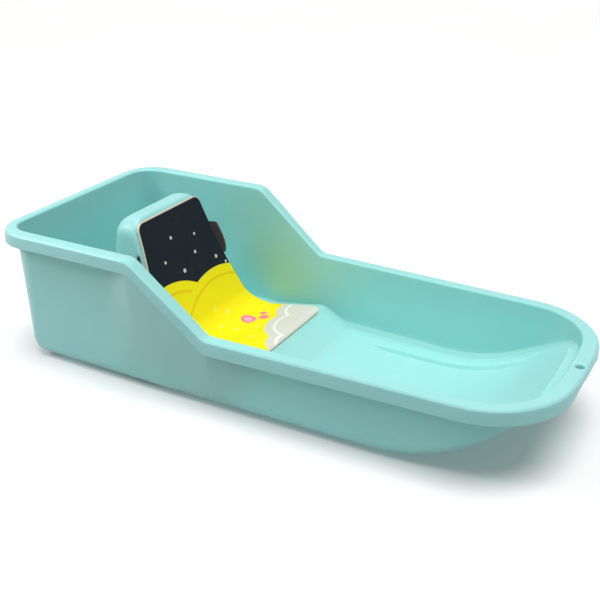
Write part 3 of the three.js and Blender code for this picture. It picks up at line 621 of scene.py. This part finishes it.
def rounded_path(corners: list[Corner], steps: int) -> tuple[list[Point], list[float]]:
    """Returns the points of a path with rounds at its inner corners, and each point's corner number.

    Args:
        corners: Each corner's two coordinates and the radius of its round.
        steps: Steps in each round.
    """
    points: list[Point] = [corners[0][:2]]
    numbers = [0.0]
    for number in range(1, len(corners) - 1):
        at = Vector(corners[number][:2])
        back = (Vector(corners[number - 1][:2]) - at).normalized()
        ahead = (Vector(corners[number + 1][:2]) - at).normalized()
        radius = corners[number][2]
        half = math.acos(max(-1.0, min(1.0, back.dot(ahead)))) / 2
        centre = at + (back + ahead).normalized() * (radius / math.sin(half))
        first = at + back * (radius / math.tan(half)) - centre
        last = at + ahead * (radius / math.tan(half)) - centre
        turn = math.atan2(first.x * last.y - first.y * last.x, first.dot(last))
        for step in range(steps + 1):
            angle = turn * step / steps
            x = first.x * math.cos(angle) - first.y * math.sin(angle)
            y = first.x * math.sin(angle) + first.y * math.cos(angle)
            points.append((centre.x + x, centre.y + y))
            numbers.append(number + step / (steps + 1))
    points.append(corners[-1][:2])
    numbers.append(float(len(corners) - 1))
    return points, numbers


def shift_corners(corners: list[Corner], shift: float) -> list[Corner]:
    """Returns the corners of the same path moved to its left, with concentric rounds.

    Args:
        corners: The path's corners.
        shift: How far it moves.
    """
    runs = [(Vector(b[:2]) - Vector(a[:2])).normalized() for a, b in zip(corners, corners[1:])]
    moved: list[Corner] = []
    for i, corner in enumerate(corners):
        before = runs[max(0, i - 1)]
        after = runs[min(len(runs) - 1, i)]
        normal = Vector((-before.y - after.y, before.x + after.x)).normalized()
        stretch = shift / normal.dot(Vector((-after.y, after.x)))
        cross = before.x * after.y - before.y * after.x
        sign = (cross > STRAIGHT) - (cross < -STRAIGHT)
        radius = max(0.0, corner[2] - sign * shift)
        moved.append((corner[0] + normal.x * stretch, corner[1] + normal.y * stretch, radius))
    return moved


def lengths_along(points: list[Point]) -> list[float]:
    """Returns the distance of each point from the path's start."""
    run = [0.0]
    for a, b in zip(points, points[1:]):
        run.append(run[-1] + math.dist(a, b))
    return run


def place_on(run: list[float], distance: float) -> tuple[int, float]:
    """Returns the step of a path that a distance falls in, and the share of that step.

    Args:
        run: Distances of the path's points.
        distance: The distance to find.
    """
    i = 1
    while i < len(run) - 1 and run[i] < distance:
        i += 1
    return i, (distance - run[i - 1]) / max(1e-12, run[i] - run[i - 1])


@dataclass
class Blank:
    """A flat sheet, long in X and centred on Y, to be rounded and then wrapped on its seat."""

    name: str
    length: float
    thickness: float
    edge: float
    rows: int
    columns: int

    def cut(self, place: Callable[[float, float], Point]) -> Piece:
        """Returns the flat sheet with its thickness and rounded edges.

        Args:
            place: Gives the flat place of a point from its shares along and across, each from 0 to 1.
        """
        bpy.ops.object.select_all(action="DESELECT")
        bpy.ops.mesh.primitive_grid_add(x_subdivisions=self.rows, y_subdivisions=self.columns, size=1.0)
        sheet = bpy.context.active_object
        sheet.name = self.name
        for vertex in sheet.data.vertices:
            along, across = place(vertex.co.x + 0.5, vertex.co.y + 0.5)
            vertex.co = (along, across, 0.0)
        finish_modifier(sheet, "SOLIDIFY", thickness=self.thickness, offset=1.0)
        finish_modifier(
            sheet, "BEVEL", width=self.edge, segments=3, limit_method="ANGLE",
            angle_limit=BLANK_BEVEL_ANGLE, use_clamp_overlap=False,
        )
        return sheet

    def wrap(self, sheet: Piece, place: Callable[[float, float, float], Vector]) -> None:
        """Maps the flat sheet's own UV, then moves each point to its place on the seat.

        Args:
            sheet: The flat sheet.
            place: Gives a point's place from its distance along, across and above the flat sheet's underside.
        """
        mesh = sheet.data
        layer = mesh.uv_layers.active or mesh.uv_layers.new(name="flat")
        for loop in mesh.loops:
            flat = mesh.vertices[loop.vertex_index].co
            layer.data[loop.index].uv = (flat.x, flat.y)
        for vertex in mesh.vertices:
            vertex.co = place(*vertex.co)
        pick(sheet)
        bpy.ops.object.mode_set(mode="EDIT")
        bpy.ops.mesh.select_all(action="SELECT")
        bpy.ops.mesh.normals_make_consistent(inside=False)
        bpy.ops.object.mode_set(mode="OBJECT")
        bpy.ops.object.shade_smooth_by_angle(angle=BLANK_SMOOTH_ANGLE)


@dataclass
class SeatLine:
    """Side view of the moulded seat: leaning back, bend, rising seat, crest and slope to the floor."""

    recline: float = math.radians(20.3)
    seat: float = math.radians(10.8)
    slope: float = math.radians(26.2)
    corner_x: float = -0.162
    corner_rise: float = 0.0069
    bend_radius: float = 0.050
    crest_x: float = -0.042
    crest_radius: float = 0.030
    back_rise: float = 0.216
    foot_rise: float = 0.0042
    lift: float = 0.005

    def corners(self) -> list[Corner]:
        """Returns the seat's corners from the top of the backrest to the floor."""
        crest_rise = self.corner_rise + (self.crest_x - self.corner_x) * math.tan(self.seat)
        top_x = self.corner_x - (self.back_rise - self.corner_rise) * math.tan(self.recline)
        foot_x = self.crest_x + (crest_rise - self.foot_rise) / math.tan(self.slope)
        return [
            (top_x, self.back_rise, 0.0),
            (self.corner_x, self.corner_rise, self.bend_radius),
            (self.crest_x, crest_rise, self.crest_radius),
            (foot_x, self.foot_rise, 0.0),
        ]

    @property
    def bend_centre(self) -> Point:
        """Returns the middle of the bend between back and seat."""
        opening = (math.pi / 2 + self.recline - self.seat) / 2
        reach = self.bend_radius / math.sin(opening)
        x = self.corner_x + reach * math.cos(self.seat + opening)
        return x, self.corner_rise + reach * math.sin(self.seat + opening)

    def back_length(self, top_rise: float) -> float:
        """Returns the straight length of the back below a height."""
        bend_top = self.bend_centre[1] - self.bend_radius * math.sin(self.recline)
        return (top_rise - bend_top) / math.cos(self.recline)

    def front_x(self, rise: float) -> float:
        """Returns where the backrest's front face is at a height."""
        return self.corner_x - (rise - self.corner_rise) * math.tan(self.recline)


@dataclass
class SeatPad:
    """Die-cut foam pad with a printed cover, bonded to the backrest and the seat."""

    line: SeatLine
    top_rise: float = 0.2105
    front_x: float = -0.038
    top_half: float = 0.078
    knee_half: float = 0.1175
    front_half: float = 0.140
    curve_share: float = 0.41
    flare_share: float = 0.45
    top_corner: float = 0.012
    front_corner: float = 0.017
    foam: float = 0.0040
    cover: float = 0.0007
    cover_margin: float = 0.0005
    cover_edge: float = 0.0003
    cover_gap: float = 0.00002
    gap: float = 0.0003
    edge: float = 0.0006
    puff: float = 0.0006
    puff_reach: float = 0.006
    end_crowding: float = 0.86
    side_crowding: float = 1.25
    rows: int = 170
    columns: int = 96

    def trace(self, lift: float) -> tuple[list[Point], list[float]]:
        """Returns the pad's side line and the distances along it.

        Args:
            lift: Height of the line above the plastic.
        """
        points, _ = rounded_path(shift_corners(self.line.corners(), lift), 40)
        start = (self.line.front_x(self.top_rise) + lift / math.cos(self.line.recline), self.top_rise)
        kept = [start] + [p for p in points[1:] if p[0] < self.front_x]
        after = points[len(kept)]
        share = (self.front_x - kept[-1][0]) / (after[0] - kept[-1][0])
        kept.append((self.front_x, kept[-1][1] + share * (after[1] - kept[-1][1])))
        return kept, lengths_along(kept)

    def half(self, along: float, total: float) -> float:
        """Returns the pad's half-width at a distance from its top edge.

        Args:
            along: The distance.
            total: The pad's whole length.
        """
        back = self.line.back_length(self.top_rise)
        if along <= back:
            share = along / back
            return self.top_half + (self.knee_half - self.top_half) * (
                self.curve_share * share + (1 - self.curve_share) * share**2
            )
        ease = math.sin(math.pi / 2 * min(1.0, (along - back) / (total - back) / self.flare_share))
        return self.knee_half + (self.front_half - self.knee_half) * ease

    def layer(
        self, name: str, lift: float, thickness: float, margin: float, edge: float, puff: float
    ) -> Piece:
        """Returns one layer of the pad.

        Args:
            name: The layer's name.
            lift: Height of its underside above the plastic.
            thickness: The layer's thickness.
            margin: How far its outline is drawn in.
            edge: Radius of its edges.
            puff: How far its middle swells above its edge.
        """
        points, run = self.trace(lift)
        total = run[-1]
        cut = total - 2 * margin

        def corner(over: float, radius: float) -> float:
            deep = max(0.0, radius - over)
            return radius - math.sqrt(max(0.0, radius**2 - deep**2))

        def flat(a: float, b: float) -> Point:
            even = a - self.end_crowding * math.sin(2 * math.pi * a) / (2 * math.pi)
            along = margin + cut * even
            head, foot = along - margin, total - margin - along
            half = self.half(along, total) - margin
            half -= corner(head, self.top_corner) + corner(foot, self.front_corner)
            spread = 2 * b - 1
            spread = math.copysign(1 - (1 - abs(spread)) ** self.side_crowding, spread)
            return along, half * spread

        blank = Blank(name, total, thickness, edge, self.rows, self.columns)
        sheet = blank.cut(flat)

        def seated(along: float, across: float, above: float) -> Vector:
            i, share = place_on(run, min(max(along, 0.0), total))
            a, b = points[i - 1], points[i]
            step = run[i] - run[i - 1]
            run_x, run_z = (b[0] - a[0]) / step, (b[1] - a[1]) / step
            x, z = a[0] + (b[0] - a[0]) * share, a[1] + (b[1] - a[1]) * share
            side = self.half(along, total) - margin - abs(across)
            inner = max(0.0, min(side, along - margin, total - margin - along))
            swell = puff * (1 - math.exp(-inner / self.puff_reach)) if above > thickness / 2 else 0.0
            rise = above + swell
            return Vector((x - run_z * rise, across, z + run_x * rise + self.line.lift))

        blank.wrap(sheet, seated)
        return sheet

    def build(self) -> None:
        """Makes the foam and its cover."""
        foam = self.layer("pad_foam_sheet", self.gap, self.foam, 0.0, self.edge, 0.0)
        dress(foam, CreamFoam().build(), "sled")
        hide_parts("seat_pad_foam")
        lift = self.gap + self.foam + self.cover_gap
        cover = self.layer(
            "pad_printed_cover", lift, self.cover, self.cover_margin, self.cover_edge, self.puff
        )
        dress(cover, PrintedCover().build(), "sled")
        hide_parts("seat_pad_cover")


@dataclass
class Belt:
    """Webbing strap that comes out of the backrest's side slots and closes behind it."""

    line: SeatLine
    pad: SeatPad
    width: float = 0.049
    thickness: float = 0.0016
    rise: float = 0.1405
    drop: float = 0.008
    stand_off: float = 0.0016
    bulge_reach: float = 0.022
    bulge_lean: float = 0.017
    bulge_curl: float = 0.55
    bulge_radius: float = 0.004
    slot_turn_radius: float = 0.005
    slot_set_back: float = 0.006
    turn_radius: float = 0.0013
    back_x: float = -0.2765
    back_corner: float = 0.018
    shoulder: float = 0.026
    lip: float = 0.004
    wall: float = 0.003
    gap: float = 0.0003
    bar: float = 0.005
    bar_thickness: float = 0.0036
    bar_slot: float = 0.0065
    socket: float = 0.047
    plug: float = 0.026
    sewn_end: float = 0.071
    tail_end: float = -0.071
    slack: float = 0.2
    inside: Point = (7.85, 8.05)
    hem_rows: Point = (0.0018, 0.0031)
    box_insets: Point = (0.014, 0.003)
    box_half: float = 0.020
    stitch: Corner = (0.00030, 0.00120, 0.00034)
    stitch_pitch: float = 0.0032
    stitch_lift: float = 0.00015
    edge: float = 0.0005
    steps: int = 14
    rows: int = 260
    columns: int = 10

    @property
    def run_x(self) -> float:
        """Returns the middle of the strap along the backrest's rear face."""
        return self.back_x - self.stand_off - self.thickness / 2

    @property
    def over_x(self) -> float:
        """Returns the middle of the strap where it passes over a buckle bar."""
        clear = self.thickness / 2 + self.gap + self.slack * self.thickness
        return self.run_x - self.bar_thickness - 2 * clear

    @property
    def layer_x(self) -> float:
        """Returns the middle of the second layer, behind the first."""
        return self.run_x - self.thickness - self.gap

    def back_half(self, rise: float) -> float:
        """Returns the backrest's half-width at a height."""
        below = (self.pad.top_rise - rise) / math.cos(self.line.recline)
        share = max(0.0, below / self.line.back_length(self.pad.top_rise))
        curve = self.pad.curve_share * share + (1 - self.pad.curve_share) * share**2
        over = max(0.0, rise - (self.line.back_rise - self.shoulder))
        inward = self.shoulder - math.sqrt(max(0.0, self.shoulder**2 - over**2))
        return self.pad.top_half + (self.pad.knee_half - self.pad.top_half) * curve + self.lip - inward

    def corners(self, rise: float) -> list[Corner]:
        """Returns the strap's corners, seen from above, at one height.

        Args:
            rise: The height.
        """
        slot_x = self.line.front_x(rise) - self.slot_set_back
        near = self.back_half(rise)
        far = self.back_half(rise - self.drop) + self.stand_off
        turn = self.thickness / 2 + self.gap
        past = self.bar_slot / 2 + self.bar + self.gap + self.thickness / 2
        reach = 1 - self.bulge_curl * (0.5 - (rise - self.rise) / self.width) ** 3
        slot_y = near + self.wall
        bulge_y = slot_y + self.bulge_reach * reach
        socket_y = self.socket - self.bar - self.bar_slot / 2
        plug_y = -(self.plug - self.bar - self.bar_slot / 2)

        def side(s: int) -> list[Corner]:
            return [
                (self.run_x, s * far, self.back_corner + self.stand_off),
                (slot_x + self.bulge_lean * reach, s * bulge_y, reach * self.bulge_radius),
                (slot_x, s * slot_y, reach * self.slot_turn_radius),
            ]

        return [
            (self.layer_x, self.sewn_end, 0.0),
            (self.layer_x, socket_y + past + self.bar, 2 * turn),
            (self.over_x, socket_y + past, turn + self.turn_radius),
            (self.over_x, socket_y, self.turn_radius),
            (self.run_x, socket_y, self.turn_radius),
            *side(1),
            *side(-1)[::-1],
            (self.run_x, plug_y, self.turn_radius),
            (self.over_x, plug_y, self.turn_radius),
            (self.over_x, plug_y - past, turn + self.turn_radius),
            (self.layer_x, plug_y - past - self.bar, 2 * turn),
            (self.layer_x, self.tail_end, 0.0),
        ]

    def webbing(self) -> Piece:
        """Returns the whole strap."""
        middle, _ = rounded_path(self.corners(self.rise), self.steps)
        run = lengths_along(middle)
        total = run[-1]
        cache: dict[float, tuple[list[Point], list[float]]] = {}

        def path_at(across: float) -> tuple[list[Point], list[float]]:
            key = round(across, 7)
            if key not in cache:
                cache[key] = rounded_path(self.corners(self.rise + across), self.steps)
            return cache[key]

        stations = sorted(set(run) | {total * k / self.rows for k in range(self.rows + 1)})

        def flat(a: float, b: float) -> Point:
            return stations[round(a * (len(stations) - 1))], (b - 0.5) * self.width

        blank = Blank("belt_strap", total, self.thickness, self.edge, len(stations) - 1, self.columns)
        strap = blank.cut(flat)

        def seated(along: float, across: float, above: float) -> Vector:
            points, numbers = path_at(across)
            i, share = place_on(run, min(max(along, 0.0), total))
            a, b = Vector(points[i - 1]), Vector(points[i])
            at = a.lerp(b, share)
            early = Vector(points[max(0, i - 2)])
            late = Vector(points[min(len(points) - 1, i + 1)])
            tangent = ((b - early).normalized().lerp((late - a).normalized(), share)).normalized()
            number = numbers[i - 1] + (numbers[i] - numbers[i - 1]) * share
            ease = min(1.0, max(0.0, self.inside[0] - number, number - self.inside[1]))
            fall = self.drop * ease * ease * (3 - 2 * ease)
            off = above - self.thickness / 2
            height = self.rise + across - fall + self.line.lift
            return Vector((at.x - tangent.y * off, at.y + tangent.x * off, height))

        blank.wrap(strap, seated)
        return strap

    def stitching(self) -> Piece:
        """Returns the sewn box that closes the loop at the socket and the hem at the tail."""
        x = self.layer_x - self.thickness / 2 - self.stitch_lift
        middle = self.rise - self.drop + self.line.lift
        low, high = middle - self.box_half, middle + self.box_half
        near, far = (self.sewn_end - inset for inset in self.box_insets)
        runs = [
            ((near, low), (near, high)), ((far, low), (far, high)), ((near, low), (far, low)),
            ((near, high), (far, high)), ((near, low), (far, high)), ((near, high), (far, low)),
            *(((self.tail_end + inset, low), (self.tail_end + inset, high)) for inset in self.hem_rows),
        ]
        bpy.ops.object.select_all(action="DESELECT")
        bpy.ops.mesh.primitive_ico_sphere_add(subdivisions=2, radius=1.0)
        master = bpy.context.active_object
        master.name = "belt_stitching"
        unit = [v.co.copy() for v in master.data.vertices]
        copies = []
        for start, end in runs:
            length = math.dist(start, end)
            count = max(2, round(length / self.stitch_pitch))
            angle = math.atan2(end[1] - start[1], end[0] - start[0])
            turn = Matrix.Rotation(angle, 3, "X")
            for k in range(count):
                share = (k + 0.5) / count
                centre = Vector((x, *Vector(start).lerp(Vector(end), share)))
                mesh = master.data.copy()
                for vertex, point in zip(mesh.vertices, unit):
                    vertex.co = centre + turn @ (point * Vector(self.stitch))
                stitch = bpy.data.objects.new("stitch", mesh)
                bpy.context.scene.collection.objects.link(stitch)
                copies.append(stitch)
        bpy.ops.object.select_all(action="DESELECT")
        master.data = copies[0].data.copy()
        bpy.data.objects.remove(copies[0])
        for stitch in copies[1:]:
            stitch.select_set(True)
        master.select_set(True)
        bpy.context.view_layer.objects.active = master
        bpy.ops.object.join()
        pick(master)
        bpy.ops.object.shade_smooth()
        return master

    def build(self) -> None:
        """Makes the strap and its stitching."""
        strap = self.webbing()
        dress(strap, RibbedWebbing().build(), "sled")
        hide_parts("belt_webbing")
        dress(self.stitching(), TwistedThread().build(), "sled")


@dataclass
class Buckle:
    """Side-release buckle and the keeper on the belt's tail, from the CAD solids with softened edges."""

    nodes: dict[str, Piece]
    edge: float = 0.00035
    smooth_angle: float = math.radians(30)
    homes: dict[str, str] = field(
        default_factory=lambda: {
            "buckle_socket": "sled",
            "buckle_plug": "sled",
            "buckle_prong_upper": "upper_prong",
            "buckle_prong_lower": "lower_prong",
            "belt_keeper": "keeper",
        }
    )

    def build(self) -> None:
        """Makes every buckle piece."""
        nylon = MouldedNylon().build()
        for node, body in self.homes.items():
            piece = softened_copy(self.nodes[node], node + "_moulding", self.edge, self.smooth_angle)
            dress(piece, nylon, body)
            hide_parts(node)


@dataclass
class Tub:
    """The one-piece moulding: tub, seat, backrest, rim and runners."""

    node: Piece
    edge: float = 0.0007
    smooth_angle: float = math.radians(28)

    def build(self) -> None:
        """Makes the moulding."""
        piece = softened_copy(self.node, "tub_moulding", self.edge, self.smooth_angle, folded=True)
        dress(piece, MouldedPlastic().build(), "sled")
        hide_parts("hull")


@dataclass
class Studio:
    """Pale floor, soft lights and the camera at the photograph's angle."""

    floor_size: float = 24.0
    floor_drop: float = 0.0004
    sky: float = 0.38
    overhead: float = 2.25
    overhead_from: tuple[float, float, float] = (0.15, -0.08, 1.0)
    spread: float = math.radians(40)
    side: float = 10.0
    side_from: tuple[float, float, float] = (-1.40, -0.90, 1.20)
    side_size: float = 0.60
    eye: tuple[float, float, float] = (0.62641, -1.15240, 0.74408)
    pitch: float = math.radians(25.51)
    yaw: float = math.radians(28.59)
    roll: float = math.radians(0.69)
    lens: float = 59.29
    film: float = 36.0

    def floor(self) -> None:
        """Lays the floor, which sends no light back up, so that the outer sides stay in soft shade."""
        bpy.ops.object.select_all(action="DESELECT")
        bpy.ops.mesh.primitive_plane_add(size=self.floor_size, location=(0.0, 0.0, -self.floor_drop))
        plane = bpy.context.active_object
        plane.name = "studio_floor"
        bpy.ops.object.transform_apply(location=True, rotation=True, scale=True)
        plane.data.materials.append(StudioPaper().build())
        plane.visible_diffuse = False

    def backdrop(self) -> None:
        """Stands a white ring round the floor, which only the camera sees, so that no horizon shows."""
        bpy.ops.object.select_all(action="DESELECT")
        bpy.ops.mesh.primitive_cylinder_add(
            vertices=96, radius=self.floor_size / 2, depth=self.floor_size, end_fill_type="NOTHING"
        )
        ring = bpy.context.active_object
        ring.name = "studio_backdrop"
        paper = Bench("studio_backdrop")
        bands = paper.ramp(paper.noise(paper.place(), 0.2, 2.0), 0.3, 0.7, 1.0, 1.04)
        paper.wire(bands, paper.shader.inputs["Emission Strength"])
        paper.shader.inputs["Emission Color"].default_value = Ink.BACKDROP.linear()
        paper.shader.inputs["Base Color"].default_value = Ink.BACKDROP.linear()
        ring.data.materials.append(paper.material)
        ring.visible_diffuse = False
        ring.visible_glossy = False
        ring.visible_transmission = False
        ring.visible_shadow = False

    def lamp(self, data: bpy.types.Light, place: tuple[float, float, float]) -> None:
        """Hangs a light at a place and turns it to the middle of the sled.

        Args:
            data: The light.
            place: Where it hangs.
        """
        holder = bpy.data.objects.new(data.name, data)
        bpy.context.scene.collection.objects.link(holder)
        holder.location = place
        holder.rotation_euler = (-Vector(place)).to_track_quat("-Z", "Y").to_euler()

    def lights(self) -> None:
        """Hangs a broad light high over the sled, and a smaller one behind its near side."""
        overhead = bpy.data.lights.new("overhead_softbox", "SUN")
        overhead.energy = self.overhead
        overhead.angle = self.spread
        self.lamp(overhead, self.overhead_from)
        side = bpy.data.lights.new("side_softbox", "AREA")
        side.energy = self.side
        side.size = self.side_size
        self.lamp(side, self.side_from)

    def camera(self) -> None:
        """Sets up the camera."""
        ahead = Vector((
            -math.sin(self.yaw) * math.cos(self.pitch),
            math.cos(self.yaw) * math.cos(self.pitch),
            -math.sin(self.pitch),
        ))
        level = Vector((math.cos(self.yaw), math.sin(self.yaw), 0.0))
        top = level.cross(ahead)
        right = level * math.cos(self.roll) + top * math.sin(self.roll)
        up = top * math.cos(self.roll) - level * math.sin(self.roll)
        data = bpy.data.cameras.new("photo_camera")
        data.lens = self.lens
        data.sensor_width = self.film
        data.clip_start = 0.05
        eye = bpy.data.objects.new("photo_camera", data)
        bpy.context.scene.collection.objects.link(eye)
        turn = Matrix((right, up, -ahead)).transposed()
        eye.matrix_world = Matrix.Translation(self.eye) @ turn.to_4x4()
        bpy.context.scene.camera = eye

    def build(self) -> None:
        """Makes the camera, the floor, the backdrop and the lights."""
        self.camera()
        self.floor()
        self.backdrop()
        world = bpy.data.worlds.new("studio")
        world.use_nodes = True
        sky = world.node_tree.nodes["Background"]
        sky.inputs["Color"].default_value = (1.0, 1.0, 1.0, 1.0)
        sky.inputs["Strength"].default_value = self.sky
        bpy.context.scene.world = world
        self.lights()
        bpy.context.scene.view_settings.view_transform = "Standard"


def main() -> None:
    """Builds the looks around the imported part."""
    logging.basicConfig(level=logging.INFO, format="%(message)s")
    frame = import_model()
    nodes = frame["nodes"]
    Studio().build()
    line = SeatLine()
    pad = SeatPad(line)
    Tub(nodes["hull"]).build()
    pad.build()
    Belt(line, pad).build()
    Buckle(nodes).build()


if __name__ == "__main__":
    main()
